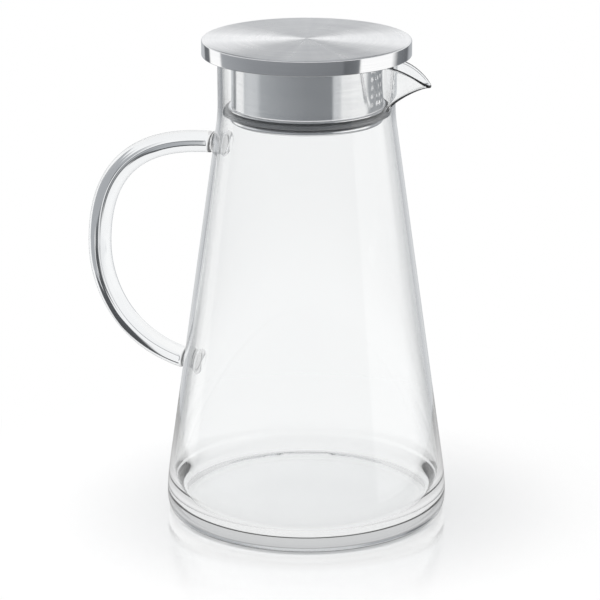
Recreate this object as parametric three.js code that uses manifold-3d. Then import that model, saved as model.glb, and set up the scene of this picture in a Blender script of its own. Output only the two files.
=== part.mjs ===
// Glass carafe with a drop-in strainer lid. Millimetres, +Z up.
// The origin is the centre of the flat underside. +X points out of the spout and the handle is at -X.
// The lid is shown seated, turned so that the edge of its strainer faces the spout.
import * as THREE from "three";
import { mergeVertices } from "three/addons/utils/BufferGeometryUtils.js";
import Module from "manifold-3d";

const degrees = Math.PI / 180;

// Jug: a cone on a thick floor, with a straight neck
const footRadius = 65.5; // flat underside
const coneRadius = 72.2; // where the cone's side would meet the table
const heelHeight = 26; // top of the rounded heel
const heelLift = 6; // how high the heel is fullest
const heelFullness = 5.1; // how far the heel swells past the foot
const shoulderRadius = 44.15; // top of the straight cone
const shoulderHeight = 196;
const shoulderRise = 11; // height over which the cone turns into the neck
const neckRadius = 43.2; // outside of the straight neck
const neckLength = 24.7; // from the bottom of the neck, where the spout has its root, to the rim
const glassWall = 2.2;
const floorThickness = 5;
const floorRadius = 54; // flat part of the inner floor

// Spout: the neck's wall drawn out into a beak
const spoutHalfAngle = 16.7 * degrees; // at the rim
const throatHalfAngle = 9 * degrees; // at the bottom of the neck
const spoutReach = 64.4; // axis to the edge of the tip
const spoutDrop = 9.4; // how far the tip lies below the rim
const throatRise = 4.8; // height over which the keel still follows the neck
const beakLength = 4.1; // length over which the keel levels out at the tip
const beakWall = 1.4; // thickness of the drawn-out glass at the tip

// Handle: a glass rod in the plane opposite the spout, welded on at both ends
const handleTopHeight = 183;
const handleBottomHeight = 67;
const handleReach = 116.5; // axis to the rod's centre line at its widest
const handleReachHeight = 122.4;
const handleBottomRise = 6.3 * degrees; // how steeply the lower end leaves the cone
const topLeadShare = 0.37;
const upperBowShare = 0.915;
const lowerBowShare = 0.38;
const bottomLeadShare = 0.77;
const rodRadius = 5.85; // at the middle of the rod
const rodEndRadius = 5.3;
const padRadius = 6.8; // where the rod flares into the wall
const padLength = 9;
const rodRootDepth = 3.5; // how far the rod is drawn into the wall before it is trimmed

// Lid: a hollow pressed disc
const lidRadius = 50.9;
const lidThickness = 7.6;
const lidSheet = 0.8;
const lidEdgeRound = 0.9;
const lidHem = 1.8; // width of the edge turned in under the disc

// Strainer drum: a perforated tube under the lid, with a pouring window on the far side
const drumRadius = 36.6;
const drumHeight = 24;
const drumSheet = 0.5;
const strainerStart = -8 * degrees; // first column of holes, from the spout
const strainerPitch = 8 * degrees;
const strainerColumns = 9;
const strainerRows = 5;
const strainerRowPitch = 4.15;
const strainerHoleRadius = 1.2;
const windowCentre = 180 * degrees;
const cutOverrun = 1.2; // how far a hole's cutter runs past each face
const windowWidth = 25;
const windowHeight = 14;
const windowCornerRadius = 4;

// Seal carrier: a pressed ring with a bead above the seal and a lip below it
const carrierInnerRadius = 35;
const carrierSleeve = 1;
const beadRadius = 38.2;
const beadThickness = 1.3;
const lipRadius = 37.4;
const lipThickness = 2.7;
const grooveHeight = 3.4;

// Seal: a silicone ring in the carrier's groove
const sealRound = 0.6;
const sealTaper = 1; // height of the sloped lower edge, which leads the lid into the neck
const sealTaperAngle = 60;

// Clearances
const seatGap = 0.3; // between pieces that touch
const sealGap = 0.3; // between the seal and the neck

// Facets
const wallColumns = 46;
const spoutColumns = 16;
const stationSteps = [5, 4, 3, 7]; // heel, cone, shoulder, neck
const rimSteps = 4;
const filletSteps = 4;
const handleSteps = 34;
const rodSides = 14;
const turnedSides = 60;
const holeSides = 8;
const roundSteps = 3;
const normalStepShare = 1e-3;

const wasm = await Module();
wasm.setup();

/** A solid for cutting, from a closed geometry. */
function toSolid(geometry) {
  const plain = geometry.clone();
  plain.deleteAttribute("normal");
  plain.deleteAttribute("uv");
  const merged = mergeVertices(plain);
  const vertProperties = merged.attributes.position.array;
  const triVerts = Uint32Array.from(merged.index.array);
  return new wasm.Manifold(new wasm.Mesh({ numProp: 3, vertProperties, triVerts }));
}

/** The geometry of a cut solid. */
function toGeometry(solid) {
  const { vertProperties, triVerts } = solid.getMesh();
  const geometry = new THREE.BufferGeometry();
  geometry.setAttribute("position", new THREE.BufferAttribute(vertProperties, 3));
  geometry.setIndex(new THREE.BufferAttribute(triVerts, 1));
  return geometry;
}

/** A closed skin over rings of points, with a fan from the first and the last ring to a centre point. */
function skin(rings, firstCentre, lastCentre) {
  const sides = rings[0].length;
  const points = [firstCentre, ...rings.flat(), lastCentre];
  const last = points.length - 1;
  const at = (ring, side) => 1 + ring * sides + (side % sides);
  const triangles = [];
  for (let side = 0; side < sides; side++) {
    triangles.push(0, at(0, side + 1), at(0, side));
    for (let ring = 0; ring < rings.length - 1; ring++) {
      const corners = [at(ring, side), at(ring, side + 1), at(ring + 1, side + 1), at(ring + 1, side)];
      triangles.push(corners[0], corners[1], corners[2], corners[0], corners[2], corners[3]);
    }
    triangles.push(at(rings.length - 1, side), at(rings.length - 1, side + 1), last);
  }
  const geometry = new THREE.BufferGeometry().setFromPoints(points);
  geometry.setIndex(triangles);
  return geometry;
}

/** A turned form from an outline of [radius, height] points that closes on itself or ends on the axis. */
function turned(outline) {
  const profile = outline.map(([radius, height]) => new THREE.Vector2(radius, height));
  return new THREE.LatheGeometry(profile, turnedSides).rotateX(Math.PI / 2);
}

/** Points of an arc in an outline, from one angle to another in degrees, counted from straight outwards. */
function arc(radius, height, round, from, to) {
  return Array.from({ length: roundSteps + 1 }, (_, step) => {
    const angle = (from + ((to - from) * step) / roundSteps) * degrees;
    return [radius + round * Math.cos(angle), height + round * Math.sin(angle)];
  });
}

// The jug's outer wall, as four curves of radius and height from the foot to the rim
const neckHeight = shoulderHeight + shoulderRise;
const rimHeight = neckHeight + neckLength;
const rimEdgeHeight = rimHeight - glassWall / 2;
const coneSlope = (coneRadius - shoulderRadius) / shoulderHeight;
const coneRadiusAt = (height) => coneRadius - coneSlope * height;
const neckCornerHeight = (coneRadius - neckRadius) / coneSlope;
const wallCurves = [
  new THREE.CubicBezierCurve(
    new THREE.Vector2(footRadius, 0),
    new THREE.Vector2(footRadius + heelFullness, 0),
    new THREE.Vector2(coneRadiusAt(heelLift), heelLift),
    new THREE.Vector2(coneRadiusAt(heelHeight), heelHeight),
  ),
  new THREE.LineCurve(
    new THREE.Vector2(coneRadiusAt(heelHeight), heelHeight),
    new THREE.Vector2(shoulderRadius, shoulderHeight),
  ),
  new THREE.QuadraticBezierCurve(
    new THREE.Vector2(shoulderRadius, shoulderHeight),
    new THREE.Vector2(neckRadius, neckCornerHeight),
    new THREE.Vector2(neckRadius, neckHeight),
  ),
  new THREE.LineCurve(
    new THREE.Vector2(neckRadius, neckHeight),
    new THREE.Vector2(neckRadius, rimEdgeHeight),
  ),
];
const coneStation = 1;
const neckStation = 3;
const rimStation = 4;

// The spout's keel, which the neck's wall is drawn out to straight above +X
const tipHeight = rimEdgeHeight - spoutDrop;
const keelCurve = new THREE.CubicBezierCurve(
  new THREE.Vector2(neckRadius, neckHeight),
  new THREE.Vector2(neckRadius, neckHeight + throatRise),
  new THREE.Vector2(spoutReach - beakLength, tipHeight),
  new THREE.Vector2(spoutReach, tipHeight),
);

/**
 * How much of the spout's reach the wall has at an angle: all of it at the keel, none past the spout's sides.
 * The spout widens along the neck's curve, from its throat to the rim.
 */
function spoutShare(angle, along) {
  const halfAngle = throatHalfAngle + (spoutHalfAngle - throatHalfAngle) * along;
  const away = Math.abs(Math.atan2(Math.sin(angle), Math.cos(angle))) / halfAngle;
  return away < 1 ? (1 + Math.cos(Math.PI * away)) / 2 : 0;
}

/** Thickness of the wall at a point, which thins where the spout is drawn out. */
function wallThickness(angle, station) {
  const along = Math.max(station - neckStation, 0);
  return glassWall - (glassWall - beakWall) * spoutShare(angle, along) * along;
}

/** A point of the outer wall. The station's whole part picks the curve and the rest is the way along it. */
function outside(angle, station) {
  const index = Math.min(Math.floor(station), wallCurves.length - 1);
  const along = station - index;
  const point = wallCurves[index].getPoint(along);
  if (index === neckStation) {
    const share = spoutShare(angle, along);
    const keel = keelCurve.getPoint(along).sub(point);
    point.x += keel.x * share;
    point.y += keel.y * share * share;
  }
  return new THREE.Vector3(point.x * Math.cos(angle), point.x * Math.sin(angle), point.y);
}

/** The outer wall's normal, pointing out of the jug. */
function outward(angle, station) {
  const low = Math.max(station - normalStepShare, 0);
  const high = Math.min(station + normalStepShare, rimStation);
  const round = outside(angle + normalStepShare, station).sub(outside(angle - normalStepShare, station));
  const up = outside(angle, high).sub(outside(angle, low));
  return round.cross(up).normalize();
}

/** A point at a depth under the outer wall, or clear of it where the depth is negative. */
function under(angle, station, depth) {
  return outside(angle, station).addScaledVector(outward(angle, station), -depth);
}

/** Angles of the jug's columns, closer together over the spout. */
function columnAngles() {
  const spoutAngles = Array.from(
    { length: spoutColumns },
    (_, i) => spoutHalfAngle * ((2 * i) / spoutColumns - 1),
  );
  const rest = 2 * Math.PI - 2 * spoutHalfAngle;
  const wallAngles = Array.from({ length: wallColumns }, (_, i) => spoutHalfAngle + (rest * i) / wallColumns);
  return [...spoutAngles, ...wallAngles];
}

/** Stations from the foot to the rim. */
function wallStations() {
  const stations = stationSteps.flatMap((steps, index) =>
    Array.from({ length: steps }, (_, step) => index + step / steps),
  );
  return [...stations, rimStation];
}

const columns = columnAngles();
const stations = wallStations();

/** A ring of points round the axis, from a function of the angle. */
const ringOf = (pointAt) => columns.map(pointAt);

/** A level ring round the axis. */
const levelRing = (radius, height) =>
  ringOf((angle) => new THREE.Vector3(radius * Math.cos(angle), radius * Math.sin(angle), height));

/** The jug: up the outer wall, over the rounded rim and down the inner wall to the floor. */
function glassBody() {
  const outer = stations.map((station) => ringOf((angle) => outside(angle, station)));
  const rim = Array.from({ length: rimSteps - 1 }, (_, step) => {
    const turn = (Math.PI * (step + 1)) / rimSteps;
    return ringOf((angle) => {
      const round = wallThickness(angle, rimStation) / 2;
      const middle = under(angle, rimStation, round);
      const out = outward(angle, rimStation);
      const up = outside(angle, rimStation).sub(outside(angle, rimStation - normalStepShare)).normalize();
      middle.addScaledVector(out, round * Math.cos(turn));
      return middle.addScaledVector(up, round * Math.sin(turn));
    });
  });
  const inner = stations
    .filter((station) => station >= coneStation)
    .reverse()
    .map((station) => ringOf((angle) => under(angle, station, wallThickness(angle, station))));
  const filletTop = under(0, coneStation, glassWall);
  const fillet = new THREE.QuadraticBezierCurve(
    new THREE.Vector2(filletTop.x, filletTop.z),
    new THREE.Vector2(filletTop.x + coneSlope * (filletTop.z - floorThickness), floorThickness),
    new THREE.Vector2(floorRadius, floorThickness),
  );
  const floor = fillet
    .getPoints(filletSteps)
    .slice(1)
    .map(({ x, y }) => levelRing(x, y));
  const underside = new THREE.Vector3(0, 0, 0);
  const floorCentre = new THREE.Vector3(0, 0, floorThickness);
  return skin([...outer, ...rim, ...inner, ...floor], underside, floorCentre);
}

/** The space that the jug takes, filled in and enlarged by a gap, for trimming what is welded to it. */
function jugEnvelope(gap) {
  const rings = stations.map((station) => ringOf((angle) => under(angle, station, -gap)));
  const bottom = new THREE.Vector3(0, 0, rings[0][0].z);
  const top = new THREE.Vector3(0, 0, rimEdgeHeight);
  return skin(rings, bottom, top);
}

/** The rod's centre line, from inside the wall near the neck round to inside the wall near the base. */
function handleCurve() {
  const topX = -coneRadiusAt(handleTopHeight);
  const bottomX = -coneRadiusAt(handleBottomHeight);
  const topLead = (handleReach + topX) * topLeadShare;
  const bottomLead = (handleReach + bottomX) * bottomLeadShare;
  const upperBow = (handleTopHeight - handleReachHeight) * upperBowShare;
  const lowerBow = (handleReachHeight - handleBottomHeight) * lowerBowShare;
  const bottomOut = new THREE.Vector3(-Math.cos(handleBottomRise), 0, Math.sin(handleBottomRise));
  const top = new THREE.Vector3(topX, 0, handleTopHeight);
  const bottom = new THREE.Vector3(bottomX, 0, handleBottomHeight);
  const widest = new THREE.Vector3(-handleReach, 0, handleReachHeight);
  const path = new THREE.CurvePath();
  path.add(new THREE.LineCurve3(new THREE.Vector3(topX + rodRootDepth, 0, handleTopHeight), top));
  path.add(
    new THREE.CubicBezierCurve3(
      top,
      new THREE.Vector3(topX - topLead, 0, handleTopHeight),
      new THREE.Vector3(-handleReach, 0, handleReachHeight + upperBow),
      widest,
    ),
  );
  path.add(
    new THREE.CubicBezierCurve3(
      widest,
      new THREE.Vector3(-handleReach, 0, handleReachHeight - lowerBow),
      bottom.clone().addScaledVector(bottomOut, bottomLead),
      bottom,
    ),
  );
  path.add(new THREE.LineCurve3(bottom, bottom.clone().addScaledVector(bottomOut, -rodRootDepth)));
  return path;
}

/** The handle: a rod that is thickest in the middle and flares into a pad at each weld. */
function glassHandle() {
  const path = handleCurve();
  const length = path.getLength();
  const rings = Array.from({ length: handleSteps + 1 }, (_, step) => {
    const along = (1 - Math.cos((Math.PI * step) / handleSteps)) / 2;
    const centre = path.getPoint(along);
    const tangent = path.getTangent(along);
    const across = new THREE.Vector3(tangent.z, 0, -tangent.x);
    const fromWall = Math.min(along, 1 - along) * length - rodRootDepth;
    const flareShare = Math.min(Math.max(1 - fromWall / padLength, 0), 1) ** 3;
    const bulge = (rodRadius - rodEndRadius) * Math.sin(Math.PI * along);
    const radius = rodEndRadius + bulge + (padRadius - rodEndRadius) * flareShare;
    return Array.from({ length: rodSides }, (_, side) => {
      const turn = (2 * Math.PI * side) / rodSides;
      const point = centre.clone().addScaledVector(across, radius * Math.cos(turn));
      point.y += radius * Math.sin(turn);
      return point;
    });
  });
  const rod = skin(rings, path.getPoint(0), path.getPoint(1));
  return toGeometry(toSolid(rod).subtract(toSolid(jugEnvelope(seatGap))));
}

// Levels of the lid's pieces, from the rim of the jug
const lidBottom = rimHeight + seatGap;
const lidTop = lidBottom + lidThickness;
const drumTop = lidBottom - seatGap;
const drumBottom = drumTop - drumHeight;
const carrierTop = drumBottom - seatGap;
const grooveTop = carrierTop - beadThickness;
const grooveBottom = grooveTop - grooveHeight;
const carrierBottom = grooveBottom - lipThickness;

/** The pressed top of the lid, with its side and the hem turned in under it. */
function lidCap() {
  const inside = lidRadius - lidSheet;
  const hem = lidRadius - lidHem;
  return turned([
    [0, lidTop - lidSheet],
    [inside, lidTop - lidSheet],
    [inside, lidBottom + lidSheet],
    [hem, lidBottom + lidSheet],
    [hem, lidBottom],
    ...arc(lidRadius - lidSheet / 2, lidBottom + lidSheet / 2, lidSheet / 2, -90, 0),
    ...arc(lidRadius - lidEdgeRound, lidTop - lidEdgeRound, lidEdgeRound, 0, 90),
    [0, lidTop],
  ]);
}

/** The plate that closes the lid from below and carries the drum. */
function lidUnderplate() {
  const edge = lidRadius - lidHem - seatGap;
  return turned([
    [0, lidBottom],
    [edge, lidBottom],
    [edge, lidBottom + lidSheet],
    [0, lidBottom + lidSheet],
  ]);
}

/** One cutter for a round hole that points away from the axis. */
function holeCutter(angle, height) {
  const depth = drumSheet + 2 * cutOverrun;
  const hole = new THREE.CylinderGeometry(strainerHoleRadius, strainerHoleRadius, depth, holeSides);
  hole.rotateZ(Math.PI / 2);
  hole.translate(drumRadius - drumSheet / 2, 0, height);
  return toSolid(hole.rotateZ(angle));
}

/** The cutter for the pouring window, a rectangle with round corners. */
function windowCutter() {
  const halfWidth = windowWidth / 2;
  const halfHeight = windowHeight / 2;
  const corner = windowCornerRadius;
  const outline = new THREE.Shape();
  outline.absarc(halfWidth - corner, halfHeight - corner, corner, 0, Math.PI / 2);
  outline.absarc(corner - halfWidth, halfHeight - corner, corner, Math.PI / 2, Math.PI);
  outline.absarc(corner - halfWidth, corner - halfHeight, corner, Math.PI, 1.5 * Math.PI);
  outline.absarc(halfWidth - corner, corner - halfHeight, corner, 1.5 * Math.PI, 2 * Math.PI);
  const options = { depth: drumRadius, bevelEnabled: false, curveSegments: roundSteps };
  const cutter = new THREE.ExtrudeGeometry(outline, options);
  cutter.rotateX(Math.PI / 2).rotateZ(Math.PI / 2);
  cutter.translate(drumRadius / 2, 0, (drumTop + drumBottom) / 2);
  return toSolid(cutter.rotateZ(windowCentre));
}

/** The drum: a tube with a grid of strainer holes on one side and the pouring window on the other. */
function strainerDrum() {
  const inside = drumRadius - drumSheet;
  const tube = turned([
    [inside, drumBottom],
    [drumRadius, drumBottom],
    [drumRadius, drumTop],
    [inside, drumTop],
    [inside, drumBottom],
  ]);
  const middle = (drumTop + drumBottom) / 2;
  let drum = toSolid(tube).subtract(windowCutter());
  for (let column = 0; column < strainerColumns; column++) {
    for (let row = 0; row < strainerRows; row++) {
      const height = middle + (row - (strainerRows - 1) / 2) * strainerRowPitch;
      drum = drum.subtract(holeCutter(strainerStart + column * strainerPitch, height));
    }
  }
  return toGeometry(drum);
}

/** The ring under the drum, with a rolled bead and a rolled lip that hold the seal between them. */
function sealCarrier() {
  const groove = carrierInnerRadius + carrierSleeve;
  const bead = beadThickness / 2;
  const lip = lipThickness / 2;
  return turned([
    [carrierInnerRadius, carrierBottom],
    ...arc(lipRadius - lip, carrierBottom + lip, lip, -90, 90),
    [groove, grooveBottom],
    [groove, grooveTop],
    ...arc(beadRadius - bead, grooveTop + bead, bead, -90, 90),
    [carrierInnerRadius, carrierTop],
    [carrierInnerRadius, carrierBottom],
  ]);
}

/** The silicone ring, whose rounded edge fills the neck. */
function sealRing() {
  const inside = carrierInnerRadius + carrierSleeve + seatGap;
  const edge = neckRadius - glassWall - sealGap;
  const bottom = grooveBottom + seatGap;
  const top = grooveTop - seatGap;
  return turned([
    [inside, bottom],
    [lipRadius, bottom],
    ...arc(edge - sealRound, bottom + sealTaper + sealRound, sealRound, -sealTaperAngle, 0),
    ...arc(edge - sealRound, top - sealRound, sealRound, 0, 90),
    [inside, top],
    [inside, bottom],
  ]);
}

const clearGlass = () =>
  new THREE.MeshStandardMaterial({ color: 0xeef4f4, roughness: 0.02, metalness: 0, transparent: true, opacity: 0.3 });
const brushedSteel = () => new THREE.MeshStandardMaterial({ color: 0xc6c8ca, roughness: 0.3, metalness: 1 });
const polishedSteel = () => new THREE.MeshStandardMaterial({ color: 0xd2d4d6, roughness: 0.12, metalness: 1 });
const greySilicone = () => new THREE.MeshStandardMaterial({ color: 0x5d6166, roughness: 0.55, metalness: 0 });

const pieces = {
  glass_body: [glassBody, clearGlass],
  glass_handle: [glassHandle, clearGlass],
  lid_cap: [lidCap, brushedSteel],
  lid_underplate: [lidUnderplate, brushedSteel],
  strainer_drum: [strainerDrum, brushedSteel],
  seal_carrier: [sealCarrier, polishedSteel],
  seal_ring: [sealRing, greySilicone],
};

const carafe = new THREE.Group();
for (const [name, [shape, material]] of Object.entries(pieces)) {
  const mesh = new THREE.Mesh(shape(), material());
  mesh.name = name;
  carafe.add(mesh);
}

export default carafe;
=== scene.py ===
"""Looks of a clear glass carafe: a conical jug with a rod handle, and a steel lid with a strainer."""

import math

import bpy
import numpy as np
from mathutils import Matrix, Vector


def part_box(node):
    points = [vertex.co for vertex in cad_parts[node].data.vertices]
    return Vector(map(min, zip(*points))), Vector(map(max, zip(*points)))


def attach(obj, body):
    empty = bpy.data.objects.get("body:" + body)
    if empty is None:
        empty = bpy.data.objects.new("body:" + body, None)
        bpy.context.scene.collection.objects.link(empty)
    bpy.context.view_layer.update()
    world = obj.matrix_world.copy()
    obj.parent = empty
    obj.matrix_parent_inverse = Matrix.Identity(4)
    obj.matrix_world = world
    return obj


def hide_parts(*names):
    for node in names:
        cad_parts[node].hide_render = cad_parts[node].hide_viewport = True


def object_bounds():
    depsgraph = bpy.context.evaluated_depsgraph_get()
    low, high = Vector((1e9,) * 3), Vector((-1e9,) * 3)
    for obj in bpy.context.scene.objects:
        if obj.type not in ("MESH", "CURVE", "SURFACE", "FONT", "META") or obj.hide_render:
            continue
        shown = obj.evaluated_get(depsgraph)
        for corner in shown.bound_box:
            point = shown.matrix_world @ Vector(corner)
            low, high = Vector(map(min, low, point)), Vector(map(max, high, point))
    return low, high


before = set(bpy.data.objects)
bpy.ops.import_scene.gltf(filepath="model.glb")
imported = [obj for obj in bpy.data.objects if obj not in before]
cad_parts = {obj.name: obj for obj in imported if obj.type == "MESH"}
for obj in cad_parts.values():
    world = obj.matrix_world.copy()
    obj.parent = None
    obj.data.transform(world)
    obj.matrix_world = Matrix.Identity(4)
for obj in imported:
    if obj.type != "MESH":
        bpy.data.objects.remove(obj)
cad_low, cad_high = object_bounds()

# Jug, in metres: radius and height of the outer wall
FOOT_RADIUS = 0.0655
CONE_RADIUS = 0.0722
HEEL_HEIGHT = 0.026
HEEL_LIFT = 0.006
HEEL_FULLNESS = 0.0051
SHOULDER_RADIUS = 0.04415
SHOULDER_HEIGHT = 0.196
SHOULDER_RISE = 0.011
NECK_RADIUS = 0.0432
GLASS_WALL = 0.0022
FLOOR_THICKNESS = 0.005
FLOOR_RADIUS = 0.054

# Spout
SPOUT_HALF_ANGLE = math.radians(16.7)  # at the rim
THROAT_HALF_ANGLE = math.radians(9)  # at the bottom of the neck
SPOUT_REACH = 0.0644
SPOUT_DROP = 0.0094
THROAT_RISE = 0.0048
BEAK_LENGTH = 0.0041
BEAK_WALL = 0.0014

# Handle: the rod's centre line in the plane y = 0, and its radius
HANDLE_TOP_HEIGHT = 0.183
HANDLE_BOTTOM_HEIGHT = 0.067
HANDLE_REACH = 0.1165
HANDLE_REACH_HEIGHT = 0.1224
HANDLE_BOTTOM_RISE = math.radians(6.3)
TOP_LEAD_SHARE = 0.37
UPPER_BOW_SHARE = 0.915
LOWER_BOW_SHARE = 0.38
BOTTOM_LEAD_SHARE = 0.77
ROD_RADIUS = 0.00585
ROD_END_RADIUS = 0.0053
PAD_RADIUS = 0.0068
PAD_LENGTH = 0.009
PAD_SHARPNESS = 3  # how steeply the pad widens towards the wall
CREASE_PLACE = 0.0053  # how far from the wall each pad and the rod meet in a crease
CREASE_HALF_WIDTH = 0.0011
CREASE_DEPTH = 0.0009
ROOT_DEPTH = 0.00115  # how deep the rod's ends lie in the wall that they are fused to

# Lid, strainer and seal: what the frame's boxes don't give
SHEET = 0.0008
LID_EDGE_ROUND = 0.0009
LID_HEM = 0.0018
DRUM_SHEET = 0.0005
STRAINER_START = math.radians(-8)
STRAINER_PITCH = math.radians(8)
STRAINER_COLUMNS = 9
STRAINER_ROWS = 5
STRAINER_ROW_PITCH = 0.00415
STRAINER_HOLE_RADIUS = 0.0012
WINDOW_WIDTH = 0.025
WINDOW_HEIGHT = 0.014
WINDOW_CORNER = 0.004
CARRIER_INNER_RADIUS = 0.035
CARRIER_SLEEVE = 0.001
BEAD_THICKNESS = 0.0013
LIP_RADIUS = 0.0374
LIP_THICKNESS = 0.0027
SEAL_GAP = 0.000325  # between the seal and the sleeve that it sits on
SEAL_ROUND = 0.0006
SEAL_TAPER = 0.001
SEAL_TAPER_ANGLE = 60

# How finely the surfaces are built
SPOUT_COLUMNS = 72
WALL_COLUMNS = 176
STATION_STEPS = [18, 20, 14, 26]  # heel, cone, shoulder, neck
RIM_STEPS = 10
FILLET_STEPS = 14
ROD_STEPS = 260
ROD_SIDES = 32
PATH_STEPS = 400  # points of each curve of the rod's centre line, from which its rings are spaced
TANGENT_SHARE = 0.002  # of the rod's length, to each side of a ring, gives its direction
TURNED_SIDES = 256
ROUND_STEPS = 8
HOLE_SIDES = 24
NORMAL_STEP = 1e-4
ON_AXIS = 1e-9  # radii below this lie on the axis
SAME_REACH = 1e-5  # corners this near a round face's radius lie on it
CRISP_ANGLE = 40  # edges that turn more than this, in degrees, stay crisp
FACING_UP = 0.5

# Camera: fitted to the photograph
CAMERA_AZIMUTH = math.radians(25)  # round from -Y towards +X
CAMERA_DISTANCE = 1.3038
CAMERA_HEIGHT = 0.5134
CAMERA_PITCH = math.radians(17.294)
CAMERA_SIDESTEP = -0.0032
CAMERA_LENS = 165
CAMERA_SENSOR = 36

# Stage
FLOOR_DISC_RADIUS = 0.21
FLOOR_GAP = 0.0004


def mesh_object(name, points, faces):
    """An object of its own from points and faces."""
    mesh = bpy.data.meshes.new(name)
    mesh.from_pydata([tuple(p) for p in points], [], faces)
    mesh.validate()
    mesh.update()
    mesh.shade_smooth()
    piece = bpy.data.objects.new(name, mesh)
    bpy.context.scene.collection.objects.link(piece)
    return piece


def bezier(controls, share):
    """The point of a Bézier curve at a share of its way."""
    points = [np.array(point, float) for point in controls]
    while len(points) > 1:
        points = [a + (b - a) * share for a, b in zip(points, points[1:])]
    return points[0]


def closed_skin(rings, first_centre, last_centre):
    """Points and faces of a closed skin over rings, with a fan to a centre point at each end."""
    sides = len(rings[0])
    points = np.vstack([[first_centre], *rings, [last_centre]])
    last = len(points) - 1
    faces = []
    for side in range(sides):
        following = (side + 1) % sides
        faces.append((0, 1 + following, 1 + side))
        for ring in range(len(rings) - 1):
            low = 1 + ring * sides
            high = low + sides
            faces.append((low + side, low + following, high + following, high + side))
        top = 1 + (len(rings) - 1) * sides
        faces.append((top + side, top + following, last))
    return points, faces


def turned(name, outline, sides=TURNED_SIDES):
    """A turned form from a closed outline of (radius, height), with any points on the axis merged."""
    turns = np.arange(sides) * 2 * math.pi / sides
    points = []
    rows = []
    for radius, height in outline:
        if radius < ON_AXIS:
            rows.append([len(points)] * sides)
            points.append((0, 0, height))
            continue
        rows.append(list(range(len(points), len(points) + sides)))
        points.extend((radius * math.cos(t), radius * math.sin(t), height) for t in turns)
    faces = []
    for row, following in zip(rows, rows[1:] + rows[:1]):
        for side in range(sides):
            after = (side + 1) % sides
            corners = [row[side], row[after], following[after], following[side]]
            face = list(dict.fromkeys(corners))
            if len(face) > 2:
                faces.append(face)
    return mesh_object(name, points, faces)


def arc(radius, height, round_radius, start, end):
    """Points of an arc in an outline, between two angles in degrees, counted from straight outwards."""
    angles = np.radians(np.linspace(start, end, ROUND_STEPS + 1))
    return [(radius + round_radius * math.cos(a), height + round_radius * math.sin(a)) for a in angles]


def sharpen(piece):
    """Keeps the piece's edges crisp."""
    piece.data.set_sharp_from_angle(angle=math.radians(CRISP_ANGLE))


def combine(piece, other, operation):
    """Joins another closed piece to this one, or cuts it away."""
    modifier = piece.modifiers.new(operation.lower(), "BOOLEAN")
    modifier.operation = operation
    modifier.solver = "EXACT"
    modifier.object = other
    graph = bpy.context.evaluated_depsgraph_get()
    result = bpy.data.meshes.new_from_object(piece.evaluated_get(graph))
    piece.modifiers.clear()
    piece.data = result
    bpy.data.objects.remove(other)


# The jug's outer wall, as in the frame: curves of radius and height from the foot to the rim
rim_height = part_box("glass_body")[1].z
neck_height = SHOULDER_HEIGHT + SHOULDER_RISE
rim_edge_height = rim_height - GLASS_WALL / 2
cone_slope = (CONE_RADIUS - SHOULDER_RADIUS) / SHOULDER_HEIGHT


def cone_radius_at(height):
    """Radius of the cone at a height."""
    return CONE_RADIUS - cone_slope * height


neck_corner_height = (CONE_RADIUS - NECK_RADIUS) / cone_slope
wall_curves = [
    [
        (FOOT_RADIUS, 0),
        (FOOT_RADIUS + HEEL_FULLNESS, 0),
        (cone_radius_at(HEEL_LIFT), HEEL_LIFT),
        (cone_radius_at(HEEL_HEIGHT), HEEL_HEIGHT),
    ],
    [(cone_radius_at(HEEL_HEIGHT), HEEL_HEIGHT), (SHOULDER_RADIUS, SHOULDER_HEIGHT)],
    [(SHOULDER_RADIUS, SHOULDER_HEIGHT), (NECK_RADIUS, neck_corner_height), (NECK_RADIUS, neck_height)],
    [(NECK_RADIUS, neck_height), (NECK_RADIUS, rim_edge_height)],
]
CONE_STATION = 1
NECK_STATION = 3
RIM_STATION = 4
tip_height = rim_edge_height - SPOUT_DROP
keel_curve = [
    (NECK_RADIUS, neck_height),
    (NECK_RADIUS, neck_height + THROAT_RISE),
    (SPOUT_REACH - BEAK_LENGTH, tip_height),
    (SPOUT_REACH, tip_height),
]


def spout_share(angles, along):
    """How much of the spout's reach the wall has at each angle, at a share of the way up the neck."""
    half_angle = THROAT_HALF_ANGLE + (SPOUT_HALF_ANGLE - THROAT_HALF_ANGLE) * along
    away = np.abs(np.arctan2(np.sin(angles), np.cos(angles))) / half_angle
    return np.where(away < 1, (1 + np.cos(np.pi * away)) / 2, 0)


def outside(angles, station):
    """Points of the outer wall round the axis at a station, whose whole part picks the curve."""
    index = min(int(station), len(wall_curves) - 1)
    radius, height = bezier(wall_curves[index], station - index)
    radii = np.full(len(angles), radius)
    heights = np.full(len(angles), height)
    if index == NECK_STATION:
        keel_radius, keel_height = bezier(keel_curve, station - index)
        share = spout_share(angles, station - index)
        radii += (keel_radius - radius) * share
        heights += (keel_height - height) * share**2
    return np.stack([radii * np.cos(angles), radii * np.sin(angles), heights], axis=1)


def upward(angles, station):
    """Which way the wall runs at a station, from the foot towards the rim."""
    low = max(station - NORMAL_STEP, 0)
    high = min(station + NORMAL_STEP, RIM_STATION)
    along = outside(angles, high) - outside(angles, low)
    return along / np.linalg.norm(along, axis=1)[:, None]


def outward(angles, station):
    """The outer wall's normals, pointing out of the jug."""
    across = outside(angles + NORMAL_STEP, station) - outside(angles - NORMAL_STEP, station)
    normals = np.cross(across, upward(angles, station))
    return normals / np.linalg.norm(normals, axis=1)[:, None]


def under(angles, station, depths):
    """Points at a depth under the outer wall, which may differ from angle to angle."""
    return outside(angles, station) - np.reshape(depths, (-1, 1)) * outward(angles, station)


def wall_thickness(angles, station):
    """Thickness of the wall at each angle, which thins where the spout is drawn out."""
    along = max(station - NECK_STATION, 0)
    return GLASS_WALL - (GLASS_WALL - BEAK_WALL) * spout_share(angles, along) * along


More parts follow.
